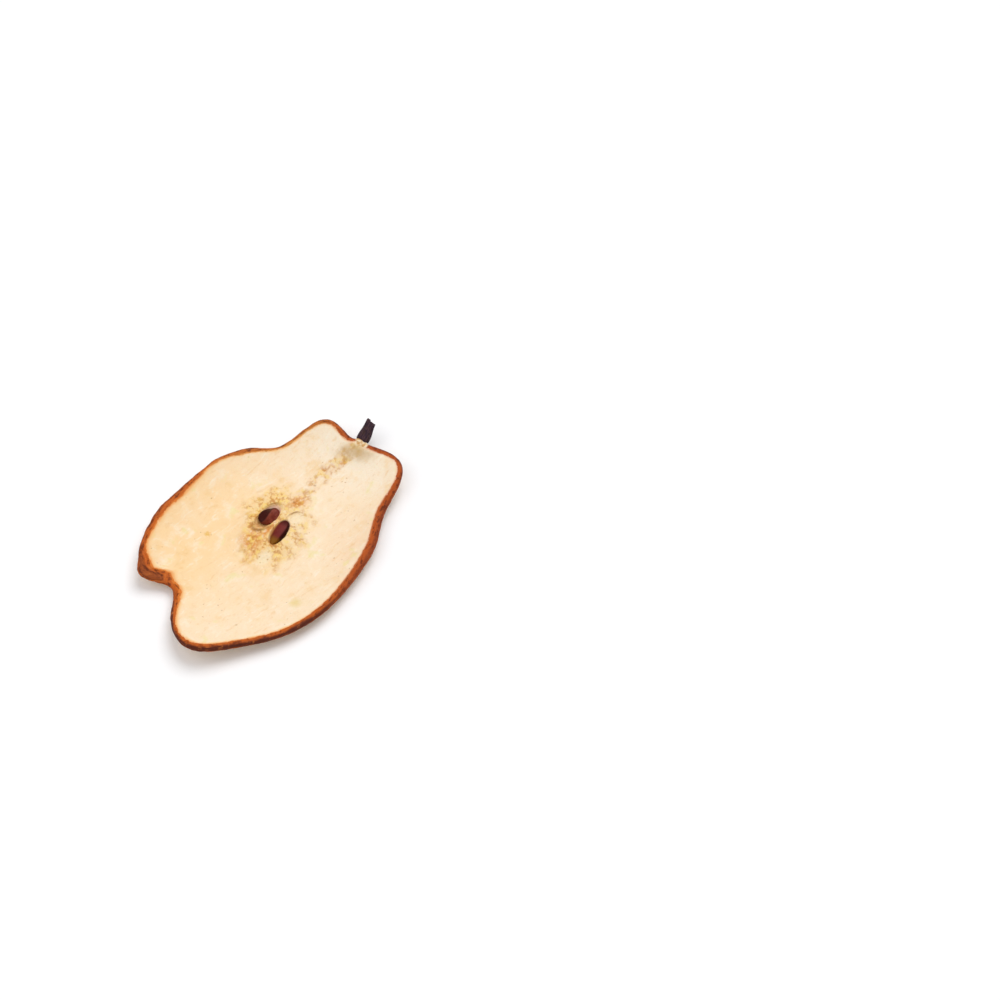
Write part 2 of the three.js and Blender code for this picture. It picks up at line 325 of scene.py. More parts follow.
def distance_to_outline(place):
    nearest = [
        np.linalg.norm(some[:, None] - OUTLINE_POINTS[None], axis=-1).min(axis=1)
        for some in np.array_split(place, 1 + len(place) // 2000)
    ]
    return np.concatenate(nearest)


def edge_thickness(angle):
    return EDGE_THICKNESS + sum_of(EDGE_FEATURES, angle)


def furrow_share(x, y):
    along, across = turned(x, y, FURROW_ANGLE)
    return smooth(along, *FURROW_REACH) * np.exp(-((across / FURROW_HALF_WIDTH) ** 2))


def in_ellipse(x, y, middle, length, width, turn):
    """How far out a place is from an ellipse's middle, 1 on the ellipse."""
    along, across = turned(x - middle[0], y - middle[1], turn)
    return np.hypot(along / (length / 2), across / (width / 2))


def thickness(place, from_edge):
    """The slice's thickness before the pockets are sunk in it."""
    x, y = place.T
    flesh = lerp(CORE_THICKNESS, FLESH_THICKNESS, smooth(np.hypot(x, y), *CORE_RADIUS))
    thickened = 1 - smooth(from_edge, 0, EDGE_THICKENS_OVER)
    furrowed = flesh - FURROW_DEPTH * furrow_share(x, y)
    return lerp(furrowed, edge_thickness(np.degrees(np.arctan2(y, x))), thickened)


def lip_at(share, lip):
    height, middle, half_width = lip
    return height * np.exp(-(((share - middle) / half_width) ** 2))


def hollowed(place, height):
    """The heights with the pockets and dents of the core sunk in them."""
    x, y = place.T
    wobble = 1 + 0.05 * noise_at(on_table(place), 1.6, layer=1)
    for middle, length, width, floor, turn in POCKETS:
        share = in_ellipse(x, y, middle, length, width, turn) * wobble
        centre, half = (POCKET_TOP + floor) / 2, (POCKET_TOP - floor) / 2
        wall = centre - half * np.sqrt(1 - np.clip(share, 0, 1) ** 2)
        height = soft_least(height + lip_at(share, POCKET_LIP), wall, POCKET_CORNER)
    for middle, length, width, depth, turn in CARPEL_DENTS:
        share = in_ellipse(x, y, middle, length, width, turn) * wobble
        height = height - depth * (1 - smooth(share, 0.3, 1.05)) + lip_at(share, DENT_LIP)
    return height


def even_angles(count):
    """Angles that cut the outline into steps of equal length."""
    fine = np.linspace(0, 360, 3601)
    steps = np.linalg.norm(np.diff(place_inside(fine, 0), axis=0), axis=1)
    lengths = np.concatenate([[0], np.cumsum(steps)])
    return np.interp(lengths[-1] * np.arange(count) / count, lengths, fine)


def section_curve(steps):
    """The edge's section as a smooth curve through its points, without the first."""
    before_all, after_all = SECTION_LEADS
    points = np.array([before_all, *EDGE_SECTION, after_all])
    t = np.linspace(0, 1, steps + 1)[1:, None]
    curve = []
    for before, start, end, after in zip(points, points[1:], points[2:], points[3:]):
        squared = 2 * before - 5 * start + 4 * end - after
        cubed = 3 * (start - end) + after - before
        curve.append(start + ((end - before) * t + squared * t**2 + cubed * t**3) / 2)
    return np.concatenate(curve)


def ring_of_flesh(angles, share, is_top):
    """A ring's places, heights, depths into the peel and side, at a share of the way out over the flesh."""
    place = place_inside(angles, EDGE_WIDTH + lean(angles)) * share
    from_edge = distance_to_outline(place)
    if is_top:
        border = peel_border(angles) + lean(angles)
        return place, hollowed(place, thickness(place, from_edge)), border - from_edge, is_top
    return place, 0 * from_edge, PEEL_BORDER_UNDER - from_edge, is_top


def rings_of_slice(angles):
    """The rings of the slice's skin, from the middle of the top, out over the peel and back underneath."""
    quarter, half = angles[::4], angles[::2]
    shares = np.linspace(0, 1, RINGS["middle"] + 1)[1:] * MIDDLE_SHARE
    rings = [ring_of_flesh(quarter, share, True) for share in shares]
    shares = np.linspace(MIDDLE_SHARE, FINE_RADIUS_SHARE, RINGS["fine"] + 1)[1:]
    rings += [ring_of_flesh(half, share, True) for share in shares]
    shares = np.linspace(FINE_RADIUS_SHARE, 1, RINGS["over"] + 1)[1:]
    rings += [ring_of_flesh(angles, share, True) for share in shares]

    edge = edge_thickness(angles)
    over = lean(angles)
    section_from, section_to = EDGE_SECTION[0][0], EDGE_SECTION[-1][0]
    for inset in np.linspace(EDGE_WIDTH, section_from, RINGS["edge"] + 2)[1:]:
        place = place_inside(angles, inset + over)
        inner = thickness(place, distance_to_outline(place))
        height = lerp(edge, inner, smooth(inset, section_from, EDGE_WIDTH))
        rings.append((place, height, peel_border(angles) - inset, True))

    section = section_curve(RINGS["section"])
    insets = section[:, :1] + over * smooth(section[:, 1:], LEAN_FROM, 1)
    heights = section[:, 1:] * edge
    across = np.stack([insets, heights], axis=-1)
    first = np.stack([section_from + over, edge], axis=-1)[None]
    steps = np.linalg.norm(np.diff(np.concatenate([first, across]), axis=0), axis=-1)
    from_top = np.cumsum(steps, axis=0) - (section_from - peel_border(angles))
    length = from_top[-1] - (section_to - PEEL_BORDER_UNDER)
    for inset, height, s in zip(insets, heights, from_top):
        is_top = height.mean() > LOWEST_ON_TOP
        rings.append((place_inside(angles, inset), height, np.minimum(s, length - s), is_top))

    shares = np.linspace(1, 0, RINGS["under"] + 1)[:-1]
    rings += [ring_of_flesh(half, share, False) for share in shares]
    return rings


def faces_between(first, n, second, m):
    """The faces that join a ring of n points to the next, which has as many, twice or half as many."""
    faces = []
    for i in range(min(n, m)):
        following = (i + 1) % min(n, m)
        if n == m:
            faces.append((first + i, second + i, second + following, first + following))
            continue
        a, b, c = 2 * i, 2 * i + 1, (2 * i + 2) % max(n, m)
        if m > n:
            faces.append((first + i, second + a, second + b))
            faces.append((first + i, second + b, first + following))
            faces.append((first + following, second + b, second + c))
        else:
            faces.append((first + a, second + i, first + b))
            faces.append((first + b, second + i, second + following))
            faces.append((first + b, second + following, first + c))
    return faces


def closed_skin(counts):
    """The faces of a closed skin: a first point, rings of these counts, and a last point."""
    starts = 1 + np.concatenate([[0], np.cumsum(counts)]).astype(int)
    last = int(starts[-1])
    faces = [(0, 1 + i, 1 + (i + 1) % counts[0]) for i in range(counts[0])]
    for r in range(len(counts) - 1):
        faces += faces_between(int(starts[r]), counts[r], int(starts[r + 1]), counts[r + 1])
    ring = int(starts[-2])
    faces += [(ring + (i + 1) % counts[-1], ring + i, last) for i in range(counts[-1])]
    return faces


def new_piece(name, points, faces):
    """A smooth mesh object from points in millimetres from the core's middle."""
    mesh = bpy.data.meshes.new(name)
    mesh.from_pydata((points + CORE_AT) * MM, [], faces)
    mesh.shade_smooth()
    piece = bpy.data.objects.new(name, mesh)
    bpy.context.collection.objects.link(piece)
    return piece


def normals_of(piece):
    normals = np.zeros(3 * len(piece.data.vertices), np.float32)
    piece.data.vertex_normals.foreach_get("vector", normals)
    return normals.reshape(-1, 3)


def set_points(piece, points):
    piece.data.vertices.foreach_set("co", ((points + CORE_AT) * MM).astype(np.float32).ravel())
    piece.data.update()


def set_attribute(piece, name, values):
    values = np.asarray(values, np.float32)
    kind, field = ("FLOAT", "value") if values.ndim == 1 else ("FLOAT_VECTOR", "vector")
    piece.data.attributes.new(name, kind, "POINT").data.foreach_set(field, values.ravel())


# --------------------------------------------------------------------------------------- the slice's relief

ZONE = ((0.2, -0.5), 28, 19.5, 32)  # the stone cells round the core: middle, length, width, turn
STAINS = (  # where the stone cells are stained orange
    ((-7.2, 0.6), 11.0, 7.0, 46),
    ((9.6, 0.6), 6.2, 4.0, 0),
    ((-2.4, -0.4), 8.4, 2.0, 10),
)
WRINKLED_LOBE = (160, 26)  # where the peel is the most wrinkled: angle, spread
UNDERSIDE_APART = 60.0  # how far away the underside's noise is taken from the top's
VESSELS = {"from": (10, 0.4), "to": (33.5, 1.0), "bow": 1.6, "half_width": 2.5}  # the bundle on to the stem
HOLLOW_SHADE = ((31.2, 0.2), 5.6, 13.0, 30)  # where shade is painted on the flesh in the hollow below the stem
TORN_LIP = ((34.4, 0.9), 3.8, 4.8, 8)  # torn flesh in place of the peel at the stem
RIM_LINE = (1, 1.08, 0.12)  # its strength, middle and half width, as a lip's
RIM_LINES_AND_SHADOW = (  # brown lines along hollows, the second of them painted shadow along the first pocket's calyx side: the hollow, the line's side of it, how far round it reaches
    (CARPEL_DENTS[0], 60, 50),
    (POCKETS[0], 198, 34),
    (POCKETS[0], 30, 30),
)


def stone_cell_share(place):
    """How thickly the stone cells lie at a place."""
    flat = on_table(place)
    ragged = 0.26 * noise_at(flat, 5.0, layer=2) + 0.2 * noise_at(flat, 1.8, layer=3)
    return 1 - smooth(in_ellipse(*place.T, *ZONE) + ragged, 0.62, 1.15)


def vessel_share(place):
    """How much of the vessels' bundle is felt at a place."""
    flat = on_table(place)
    start, end = np.array(VESSELS["from"]), np.array(VESSELS["to"])
    run = end - start
    along = (place - start) @ run / (run @ run)
    bowed = VESSELS["bow"] * 4 * along * (1 - along)
    across = (place - start) @ np.array([-run[1], run[0]]) / np.linalg.norm(run) - bowed
    across = np.abs(across) / VESSELS["half_width"] + 0.5 * noise_at(flat, 2.6, layer=4)
    across = across + 0.3 * noise_at(flat, 1.0, layer=22)
    broken = smooth(noise_at(flat, 3.2, layer=23), -0.5, 0.0)
    between_ends = smooth(along, -0.2, 0.1) * (1 - smooth(along, 0.97, 1.04))
    return between_ends * (1 - smooth(across, 0.4, 1.2)) * broken


def patch_share(place, spot, softness=0.5):
    """1 inside an ellipse, fading out raggedly towards its edge."""
    flat = on_table(place)
    ragged = 0.22 * noise_at(flat, 1.5, layer=24) + 0.12 * noise_at(flat, 0.6, layer=25)
    return 1 - smooth(in_ellipse(*place.T, *spot) + ragged, 1 - softness, 1 + 0.3 * softness)


def rim_line(place, hollow, side, reach):
    """How much of the brown line along one side of a hollow of the core is felt at a place."""
    middle, length, width, _, turn = hollow
    x, y = (place - np.array(middle)).T
    share = in_ellipse(*place.T, middle, length, width, turn)
    return near(np.degrees(np.arctan2(y, x)), side, reach) * lip_at(share, RIM_LINE)


def relief(place, depth, is_top, rim, torn):
    """What the surface stands out by at each point, with the shares of the zone, vessels and lumps."""
    flat = np.column_stack([place, np.where(is_top, 0.0, UNDERSIDE_APART)])
    flesh = smooth(-depth, 0.0, 1.5)
    peel = smooth(depth, -0.1, 0.3) * (1 - torn)

    zone = stone_cell_share(place)
    vessels = vessel_share(place)
    grainy = np.maximum(zone, 0.8 * vessels)
    shifted = flat + 0.5 * noise_at(flat, 0.9, layer=5)[:, None]
    lumps = np.maximum(lumps_at(shifted, 1.8, layer=6), 0.85 * lumps_at(shifted, 0.95, layer=17))
    coarse = noise_at(flat, 2.3, layer=18)
    out = flesh * grainy * (0.3 * (lumps - 0.5) + 0.14 * coarse)
    out += flesh * (0.12 * noise_at(flat, 15, layer=7) + 0.06 * noise_at(flat, 5, layer=8))
    out += flesh * (0.03 * noise_at(flat, 2.2, layer=9) + 0.012 * noise_at(flat, 0.8, layer=19))

    puckers = noise_at(np.column_stack([rim / 1.8, depth / 6]), 1, layer=10)
    out += 0.06 * puckers * smooth(-depth, 0.0, 1.0) * (1 - smooth(-depth, 2.0, 7))

    lobe = near(np.degrees(np.arctan2(place[:, 1], place[:, 0])), *WRINKLED_LOBE)
    wrinkles = noise_at(np.column_stack([rim / 3.0, depth / 0.4]), 1, layer=11)
    knobs = noise_at(np.column_stack([rim / 2.4, depth / 1.6]), 1, layer=12)
    nicks = noise_at(np.column_stack([rim / 0.9, depth / 0.9]), 1, layer=20)
    out += peel * ((0.05 + 0.12 * lobe) * wrinkles + 0.13 * knobs + 0.05 * nicks)

    out += torn * 0.35 * lumps_at(shifted, 1.1, layer=21)
    # Underneath, the flesh only sinks in and the peel only stands out, so the slice still lies flat.
    out = np.where(is_top, out, np.abs(out) * np.where(depth > 0, 1, -1))
    return out, zone, vessels, lumps


def ellipses(spots):
    return [(middle, length, width, turn) for middle, length, width, _, turn in spots]


def sunk_share(place):
    """How deep a place is in the pockets, and in the carpels' dents."""
    pocket = max_of([1 - smooth(in_ellipse(*place.T, *spot), 0.8, 1.05) for spot in ellipses(POCKETS)])
    dent = max_of([1 - smooth(in_ellipse(*place.T, *spot), 0.4, 1.1) for spot in ellipses(CARPEL_DENTS)])
    return pocket, dent


def make_slice():
    angles = even_angles(STEPS_ROUND)
    rings = rings_of_slice(angles)
    middle = np.zeros((1, 2))
    far_inside = np.array([FAR_INSIDE])
    first = (middle, hollowed(middle, np.array([CORE_THICKNESS])), far_inside, True)
    last = (middle, np.array([0.0]), far_inside, False)
    everything = [first, *rings, last]
    place = np.concatenate([ring[0] for ring in everything])
    height = np.concatenate([ring[1] for ring in everything])
    depth = np.concatenate([ring[2] for ring in everything])
    is_top = np.concatenate([np.full(len(ring[0]), ring[3]) for ring in everything])
    at_angle = np.degrees(np.arctan2(place[:, 1], place[:, 0]))
    rim = place_inside(at_angle, 0)

    points = above(place, height)
    piece = new_piece("dried_pear_slice", points, closed_skin([len(ring[0]) for ring in rings]))
    torn = patch_share(place, TORN_LIP) * is_top
    out, zone, vessels, lumps = relief(place, depth, is_top, rim, torn)
    pocket, dent = sunk_share(place)
    out = out * (1 - pocket * is_top)
    points = points + normals_of(piece) * out[:, None]
    points[:, 2] = np.maximum(points[:, 2], 0)
    set_points(piece, points)
    stain = max_of([patch_share(place, spot, softness=0.9) for spot in STAINS])
    shade = patch_share(place, HOLLOW_SHADE, softness=0.9) * is_top
    set_attribute(piece, "rim", np.column_stack([rim, depth]))
    set_attribute(piece, "grain", np.column_stack([zone, vessels, lumps]))
    lines = max_of([rim_line(place, *line) for line in RIM_LINES_AND_SHADOW])
    set_attribute(piece, "core", np.column_stack([pocket, dent, lines]) * is_top[:, None])
    set_attribute(piece, "marks_and_shade", np.column_stack([stain, shade, torn]))
    return piece


# ----------------------------------------------------------------------------------- the seeds and the stem

SEED_RINGS = 60
SEED_STEPS_ROUND = 72
SEED_ROUND_ENDS = 0.25  # the share of its length over which a seed's sides blend into its round end
COAT_BLEND = 8  # degrees on either side of its border over which the shade painted on one side of the coat fades


def seed_swell(share, ends):
    """A seed's width at a share of its length: its powers say how sharp its back and front ends are."""
    back, front = ends
    fullest = back / (back + front)
    return (share / fullest) ** back * ((1 - share) / (1 - fullest)) ** front


def faceted_section(turn, facets, sharpness):
    """A rounded polygon round a seed, from how far out its sides are. It reaches 1 across and 1 up."""
    pressed = sum(
        np.clip(np.cos(turn - math.radians(faces)), 0, None) ** sharpness / distance**sharpness
        for faces, distance in facets
    )
    across, up = np.cos(turn) / pressed ** (1 / sharpness), np.sin(turn) / pressed ** (1 / sharpness)
    return across / np.abs(across).max(), up / np.abs(up).max()


def make_seed(name, at, size, rotation, facets, sharpness, twist, ends, painted_shade):
    share = (1 - np.cos(np.pi * np.arange(1, SEED_RINGS) / SEED_RINGS)) / 2
    turn = 2 * np.pi * np.arange(SEED_STEPS_ROUND) / SEED_STEPS_ROUND
    sides, painted_shade_shares = [], []
    for s in share[::-1]:
        twisted = twist * (0.5 - s)
        facets_here = [(faces + twisted, distance) for faces, distance in facets]
        across, up = faceted_section(turn, facets_here, sharpness)
        crisp = smooth(s, 0, SEED_ROUND_ENDS) * (1 - smooth(s, 1 - SEED_ROUND_ENDS, 1))
        ring_across, ring_up = lerp(np.cos(turn), across, crisp), lerp(np.sin(turn), up, crisp)
        half = seed_swell(s, ends) / 2
        sides.append(np.column_stack([np.full(len(turn), s - 0.5), half * ring_across, half * ring_up]))
        # how far round each point is from the middle of the side of the coat where shade is painted
        from_painted_shade = (np.degrees(turn) - twisted - sum(painted_shade) / 2 + 180) % 360 - 180
        beyond = np.abs(from_painted_shade) - (painted_shade[1] - painted_shade[0]) / 2
        painted_shade_shares.append(1 - smooth(beyond, -COAT_BLEND, COAT_BLEND))
    own = np.concatenate([[(0.5, 0, 0)], *sides, [(-0.5, 0, 0)]]) * np.array(size)
    dents = 0.05 * noise_at(own * (0.5, 1, 1) + np.array(at), 1.6, layer=13)
    lines = 0.012 * noise_at(own * (0.12, 1, 1) + np.array(at), 0.25, layer=14)
    outward = own / np.maximum(np.linalg.norm(own * (0.3, 1, 1), axis=1, keepdims=True), 0.2)
    rough = own + outward * (0, 1, 1) * (dents + lines)[:, None]
    pose = np.array(Euler([math.radians(a) for a in rotation], "XYZ").to_matrix())
    counts = [SEED_STEPS_ROUND] * len(sides)
    piece = new_piece(name, rough @ pose.T + np.array(at), closed_skin(counts))
    set_attribute(piece, "own", own)
    set_attribute(piece, "painted_shade", np.concatenate([[0.5], *painted_shade_shares, [0.5]]))
    return piece


STEM_RINGS = 40
STEM_STEPS_ROUND = 64
STEM_LOBES = ((3, 4, 0.07), (5, 7, 0.05))  # how many round the stem, how far they turn along it, height


def stem_width(share):
    stub = lerp(STEM["exit_width"], STEM["tip_width"], smooth(share, STEM["exit_at"], 1))
    return lerp(STEM["root_width"], stub, smooth(share, 0, STEM["exit_at"]))


def make_stem():
    root, tip = np.array(STEM["root"]), np.array(STEM["tip"])
    forward = (tip - root) / np.linalg.norm(tip - root)
    across = np.cross((0, 0, 1), forward)
    across /= np.linalg.norm(across)
    upward = np.cross(forward, across)
    a = 2 * np.pi * np.arange(STEM_STEPS_ROUND) / STEM_STEPS_ROUND
    circle = np.column_stack([np.cos(a), np.sin(a), 0 * a])

    def ring(share, shrink=1.0):
        half = stem_width(share) / 2 * shrink
        knob = 1 + sum(height * np.sin(count * a + turn * share) for count, turn, height in STEM_LOBES)
        fibres = noise_at(2.6 * circle + (0, 0, 0.9 * share), 1, layer=15)
        knob = knob * (1 + 0.09 * fibres)
        jag = noise_at(3.2 * shrink * circle, 1, layer=16)
        slant = share * STEM["broken_slant"] * (0.7 * np.cos(a) + 0.3 * np.sin(2 * a)) * shrink
        slant = slant + share**3 * 0.5 * jag
        out = np.outer(half * knob * np.cos(a), across)
        out += np.outer(half * STEM["flatness"] * knob * np.sin(a), upward) + np.outer(slant, forward)
        return lerp(root, tip, share) + out

    snapped = [ring(1, shrink) for shrink in np.linspace(0, 1, 9)[1:-1]]
    sides = [ring(share) for share in np.linspace(1, 0, STEM_RINGS)]
    points = np.concatenate([tip[None], *snapped, *sides, root[None]])
    counts = [STEM_STEPS_ROUND] * (len(snapped) + len(sides))
    piece = new_piece("dried_stem", points, closed_skin(counts))
    set_attribute(piece, "own", (points - root) @ np.column_stack([forward, across, upward]))
    return piece


# ------------------------------------------------------------------------------------------------ materials

LIGHT = 1.1  # what a level white surface sends to the camera in this scene
VIEW_RIGHT = (0.68, -0.73)  # level directions, seen from where the calyx lobes are nearest
VIEW_AWAY = (0.73, 0.68)
REGIONS = {  # middle, radius, the share of the radius over which the colour fades
    "peach cheek": ((-19, 20), 40, 0.75),
    "pale neck": ((33, 1), 24, 0.8),
    "pink cheek": ((12, -26), 20, 0.9),
    "golden spot": ((-13.7, 10.7), 1.3, 0.8),
    "green spot": ((-13.6, -22.6), 2.4, 0.9),
    "calyx notch": ((-33, 0.5), 10, 0.7),
}


def seen(red, green, blue):
    """The surface colour that shows as this colour on screen."""
    return tuple(min(channel / LIGHT, 0.95) for channel in srgb(red, green, blue))


class Recipe:
    """A material's nodes. Sizes and places in it are millimetres from the core's middle."""

    def __init__(self, name, roughness, specular, subsurface=0.0):
        self.material = bpy.data.materials.new(name)
        self.material.use_nodes = True
        self.tree = self.material.node_tree
        self.shader = self.tree.nodes["Principled BSDF"]
        self.shader.inputs["Roughness"].default_value = roughness
        self.shader.inputs["Specular IOR Level"].default_value = specular
        self.shader.inputs["Subsurface Weight"].default_value = subsurface
        self.shader.inputs["Subsurface Radius"].default_value = (1, 0.6, 0.3)
        self.shader.inputs["Subsurface Scale"].default_value = MM
        object_place = self.node("ShaderNodeTexCoord", {}, "Object")
        self.place = self.node(
            "ShaderNodeMapping",
            {"Vector": object_place, "Location": tuple(-CORE_AT), "Scale": (1000, 1000, 1000)},
        )

    def node(self, kind, inputs, output=0, **settings):
        made = self.tree.nodes.new(kind)
        for key, value in settings.items():
            setattr(made, key, value)
        for key, value in inputs.items():
            self.put(value, made.inputs[key])
        return made.outputs[output]

    def put(self, value, socket):
        if isinstance(value, bpy.types.NodeSocket):
            self.tree.links.new(value, socket)
        elif socket.type == "RGBA":
            socket.default_value = (*value, 1)
        else:
            socket.default_value = value

    def calc(self, operation, a, b=0.0, clamp=False):
        return self.node("ShaderNodeMath", {0: a, 1: b}, operation=operation, use_clamp=clamp)

    def all_of(self, first, *others):
        for other in others:
            first = self.calc("MULTIPLY", first, other)
        return first

    def most_of(self, first, *others):
        for other in others:
            first = self.calc("MAXIMUM", first, other)
        return first

    def ease(self, value, low, high):
        """0 at low and 1 at high, easing in and out."""
        inputs = {"Value": value, "From Min": low, "From Max": high}
        return self.node("ShaderNodeMapRange", inputs, interpolation_type="SMOOTHSTEP")

    def mix(self, a, b, share):
        return self.node("ShaderNodeMix", {0: share, 6: a, 7: b}, 2, data_type="RGBA")

    def vector(self, operation, a, b):
        return self.node("ShaderNodeVectorMath", {0: a, 1: b}, operation=operation)

    def stretched(self, vector, scale):
        return self.vector("MULTIPLY", vector, scale)

    def noise(self, vector, size, detail=2.0, roughness=0.5):
        inputs = {"Vector": vector, "Scale": 1 / size, "Detail": detail, "Roughness": roughness}
        return self.node("ShaderNodeTexNoise", inputs)

    def spots(self, vector, size):
        """The distance from the nearest of scattered points about a size apart, as a share of it."""
        return self.node("ShaderNodeTexVoronoi", {"Vector": vector, "Scale": 1 / size})

    def attribute(self, name):
        return self.node("ShaderNodeAttribute", {}, "Vector", attribute_name=name)

    def wander(self, size):
        """A smooth shift of about a quarter of a size, to break up straight or round shapes."""
        inputs = {"Vector": self.place, "Scale": 1 / size, "Detail": 2.0}
        colour = self.node("ShaderNodeTexNoise", inputs, "Color")
        centred = self.vector("SUBTRACT", colour, (0.5, 0.5, 0.5))
        return self.stretched(centred, (size, size, size))

    def around(self, region):
        """1 in the middle of a region of the slice, fading to 0 at its radius."""
        middle, radius, softness = REGIONS[region]
        level = self.stretched(self.vector("SUBTRACT", self.place, (*middle, 0)), (1, 1, 0))
        distance = self.node("ShaderNodeVectorMath", {0: level}, "Value", operation="LENGTH")
        return self.ease(distance, radius, radius * (1 - softness))

    def parts(self, vector):
        made = self.tree.nodes.new("ShaderNodeSeparateXYZ")
        self.tree.links.new(vector, made.inputs[0])
        return made.outputs

    def bump(self, height, reach, strength=1.0, under=None):
        """Fine relief, its height of 1 standing out by a reach in millimetres."""
        inputs = {"Height": height, "Distance": reach * MM, "Strength": strength}
        if under is not None:
            inputs["Normal"] = under
        return self.node("ShaderNodeBump", inputs)

    def finish(self, colour, roughness=None, normal=None):
        self.put(colour, self.shader.inputs["Base Color"])
        if roughness is not None:
            self.put(roughness, self.shader.inputs["Roughness"])
        if normal is not None:
            self.put(normal, self.shader.inputs["Normal"])
        return self.material


def reach_along(r, direction):
    """How far a place is from the core's middle along a level direction."""
    x, y, _ = r.parts(r.place)
    return r.calc("ADD", r.calc("MULTIPLY", x, direction[0]), r.calc("MULTIPLY", y, direction[1]))


def flesh_colour(r):
    """Cream flesh, peach at the left cheek and paler towards the stem, with clouds, fibres and specks."""
    clouds = r.noise(r.place, 12, detail=3)
    peach = r.all_of(r.around("peach cheek"), r.ease(clouds, 0.1, 0.55))
    colour = r.mix(seen(253, 228, 194), seen(254, 219, 169), peach)
    colour = r.mix(colour, seen(253, 236, 211), r.around("pale neck"))
    colour = r.mix(colour, seen(249, 219, 186), r.all_of(r.around("pink cheek"), 0.7))
    soft = r.noise(r.place, 4.5, detail=4, roughness=0.6)
    colour = r.mix(colour, seen(255, 239, 214), r.all_of(r.ease(soft, 0.5, 0.72), 0.6))
    colour = r.mix(colour, seen(246, 206, 146), r.all_of(r.ease(soft, 0.48, 0.28), 0.5))

    lengthwise = r.stretched(r.place, (0.3, 1.2, 1))
    streaked = r.vector("ADD", lengthwise, r.stretched(r.wander(5.0), (0.8, 0.8, 0)))
    strands = r.noise(streaked, 1.2, detail=4, roughness=0.6)
    colour = r.mix(colour, seen(240, 196, 138), r.all_of(r.ease(strands, 0.55, 0.74), 0.45))
    colour = r.mix(colour, seen(255, 245, 226), r.all_of(r.ease(strands, 0.45, 0.28), 0.5))
    grains = r.noise(r.place, 0.5, detail=3, roughness=0.7)
    colour = r.mix(colour, seen(240, 200, 146), r.all_of(r.ease(grains, 0.52, 0.75), 0.3))

    thin = r.noise(r.place, 7, detail=1)
    specks = r.ease(r.spots(r.vector("ADD", r.place, r.wander(1.0)), 1.9), 0.16, 0.06)
    colour = r.mix(colour, seen(186, 146, 96), r.all_of(specks, r.ease(thin, 0.48, 0.66), 0.6))
    green = r.ease(r.noise(r.place, 4.2, detail=2), 0.62, 0.74)
    colour = r.mix(colour, seen(240, 224, 152), r.all_of(green, 0.5))
    spot = r.all_of(r.around("golden spot"), r.ease(r.noise(r.place, 0.8, detail=2), 0.38, 0.5))
    colour = r.mix(colour, seen(236, 188, 98), r.all_of(spot, 0.85))
    return r.mix(colour, seen(232, 206, 128), r.all_of(r.around("green spot"), 0.6))


def core_colour(r, colour):
    """The stone cells and fibres round the core and up to the stem, over the flesh's colour, with painted
    highlights on the lumps' tops, painted shade in the cracks between them and painted shade in the hollow
    below the stem.
    """
    zone, vessels, lumps = r.parts(r.attribute("grain"))
    stain, shade, _ = r.parts(r.attribute("marks_and_shade"))
    on_left = r.ease(reach_along(r, VIEW_RIGHT), 7, 0)
    grainy = r.most_of(r.all_of(zone, r.most_of(on_left, 0.75)), r.all_of(vessels, 0.7))
    patches = r.noise(r.place, 3.0, detail=4, roughness=0.65)
    tints = r.noise(r.vector("ADD", r.place, (7, 3, 0)), 1.9, detail=3, roughness=0.6)
    fine = r.noise(r.place, 1.1, detail=3, roughness=0.65)
    colour = r.mix(colour, r.mix(seen(249, 219, 170), seen(246, 206, 134), on_left), r.all_of(zone, 0.8))
    colour = r.mix(colour, seen(244, 212, 172), r.all_of(vessels, 0.7))
    stained = r.all_of(stain, r.ease(patches, 0.28, 0.5), r.ease(fine, 0.32, 0.5))
    colour = r.mix(colour, seen(224, 142, 64), r.all_of(stained, 0.95))
    fibrous = r.most_of(r.all_of(zone, r.most_of(on_left, 0.3)), vessels)
    colour = r.mix(colour, seen(218, 152, 76), r.all_of(fibrous, r.ease(patches, 0.5, 0.64), 0.88))
    colour = r.mix(colour, seen(251, 216, 118), r.all_of(grainy, r.ease(tints, 0.48, 0.6), 0.7))
    # painted highlights on the tops of the stone cells' lumps
    knobs = r.all_of(grainy, r.ease(lumps, 0.5, 0.8), r.ease(fine, 0.4, 0.6))
    colour = r.mix(colour, seen(254, 235, 202), r.all_of(knobs, 0.65))
    # painted shade in the cracks between the lumps
    crack_shade = r.all_of(grainy, r.ease(lumps, 0.46, 0.2), r.ease(fine, 0.34, 0.54))
    colour = r.mix(colour, seen(202, 138, 72), r.all_of(crack_shade, 0.82))
    pits = r.ease(r.spots(r.vector("ADD", r.place, r.wander(1.2)), 2.2), 0.22, 0.1)
    colour = r.mix(colour, seen(140, 100, 56), r.all_of(grainy, pits, r.ease(tints, 0.5, 0.42), 0.6))
    # painted shade in the hollow below the stem
    return r.mix(colour, seen(206, 172, 120), r.all_of(shade, r.ease(patches, 0.25, 0.5), 0.75))


def carpel_colour(r, colour):
    """The pockets' smooth walls, the lumpy cream ends of the chambers, and the brown lines along them, one
    of them painted shadow.
    """
    pocket, dent, lines = r.parts(r.attribute("core"))
    x, _, _ = r.parts(r.place)
    walls = r.noise(r.place, 1.4, detail=3)
    tan = r.mix(seen(240, 190, 128), seen(212, 154, 94), r.ease(walls, 0.4, 0.6))
    wall = r.mix(tan, seen(255, 204, 183), r.ease(x, 0.5, 3.0))
    dots = r.ease(r.spots(r.place, 1.4), 0.26, 0.1)
    cream = r.mix(seen(251, 230, 194), seen(206, 164, 108), r.all_of(dots, 0.75))
    colour = r.mix(colour, cream, r.all_of(dent, 0.9))
    colour = r.mix(colour, wall, r.all_of(pocket, 0.92))
    # brown lines along the hollows' edges; the one on the first pocket's calyx side is painted shadow
    return r.mix(colour, seen(160, 112, 60), r.all_of(lines, r.ease(walls, 0.22, 0.42), 0.9))


